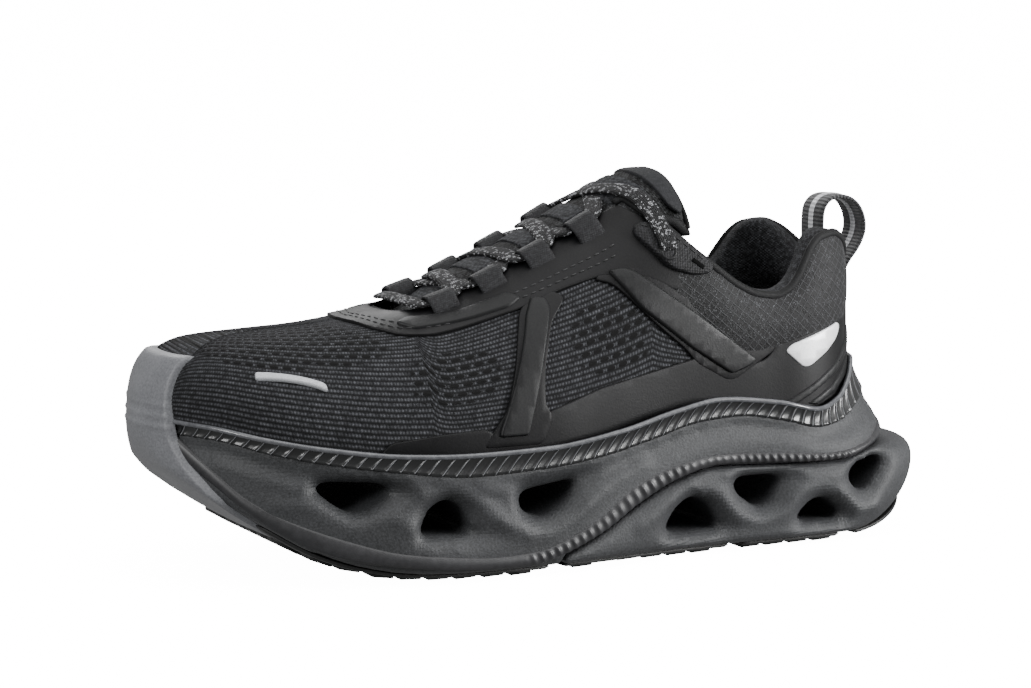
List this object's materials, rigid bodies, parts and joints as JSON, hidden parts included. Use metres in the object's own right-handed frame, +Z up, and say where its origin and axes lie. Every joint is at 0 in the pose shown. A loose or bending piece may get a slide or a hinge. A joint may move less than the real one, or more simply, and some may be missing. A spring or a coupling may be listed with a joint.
{
  "type": "running shoe",
  "caption": "Low-cut trail running shoe for the left foot: tall pierced foam sole with split rubber tread, knitted mesh upper with bonded bars, padded collar, laced throat.",
  "frame": {"origin": "on the floor, under the middle of the shoe's box", "axes": "+Z up, toe towards -X, heel towards +X, outer (lateral) side towards -Y"},
  "size_m": [0.306, 0.1142, 0.1397],
  "materials": {
    "foam_charcoal": "matte grainy moulded foam",
    "foam_band": "satin ribbed foam skin",
    "rubber_black": "matte",
    "rubber_grey": "fine pebbled matte",
    "knit_black": "ribbed engineered mesh",
    "ripstop_black": "ripstop weave",
    "lining_black": "soft knit",
    "board_grey": "matte felt",
    "stiffener_white": "matte",
    "soft_foam": "open foam",
    "overlay_film": "matte synthetic film",
    "reflective_film": "fine retroreflective",
    "webbing_charcoal": "ribbed webbing",
    "lace_cord": "braided with light flecks",
    "aglet_plastic": "glossy"
  },
  "bodies": {
    "shoe": {"aglet_lateral": "aglet_plastic", "aglet_medial": "aglet_plastic", "collar_binding": "lining_black", "collar_foam": "soft_foam", "collar_lining": "lining_black", "eyelet_patch_lateral": "overlay_film", "eyelet_patch_medial": "overlay_film", "eyestay": "overlay_film", "front_bar_lateral": "overlay_film", "front_bar_medial": "overlay_film", "heel_counter": "stiffener_white", "heel_overlay": "overlay_film", "heel_stripes_lateral": "overlay_film", "heel_stripes_medial": "overlay_film", "heel_wedge": "foam_charcoal", "insole": "foam_charcoal", "insole_cloth": "lining_black", "lace": "lace_cord", "lace_end_lateral": "lace_cord", "lace_end_medial": "lace_cord", "lace_loops_lateral": "webbing_charcoal", "lace_loops_medial": "webbing_charcoal", "lasting_board": "board_grey", "lower_overlay_lateral": "overlay_film", "lower_overlay_medial": "overlay_film", "midsole": "foam_charcoal", "quarter_fabric": "ripstop_black", "rear_bar_lateral": "overlay_film", "rear_bar_medial": "overlay_film", "reflective_bar": "reflective_film", "reflector_lateral": "reflective_film", "reflector_medial": "reflective_film", "rim_band": "foam_band", "toe_bumper": "rubber_grey", "toe_puff": "stiffener_white", "tread_forefoot": "rubber_black", "tread_heel": "rubber_black", "tread_heel_bevel": "rubber_black", "tread_midfoot": "rubber_black", "vamp_lining": "lining_black", "vamp_mesh": "knit_black"},
    "tongue": {"tongue_band": "webbing_charcoal", "tongue_cloth": "lining_black", "tongue_lining": "lining_black", "tongue_pad": "soft_foam", "tongue_patch": "overlay_film"},
    "pull_loop": {"pull_loop": "webbing_charcoal"}
  },
  "joints": [
    {"name": "tongue_hinge", "type": "hinge", "parent": "shoe", "child": "tongue", "pos_m": [-0.069, 0, 0.079], "axis": [0, 1, 0], "range_deg": [0, 7], "stiffness_Nm_per_rad": 0.4},
    {"name": "pull_loop_hinge", "type": "hinge", "parent": "shoe", "child": "pull_loop", "pos_m": [0.1255, 0, 0.101], "axis": [0, 1, 0], "range_deg": [0, 15], "stiffness_Nm_per_rad": 0.02}
  ]
}
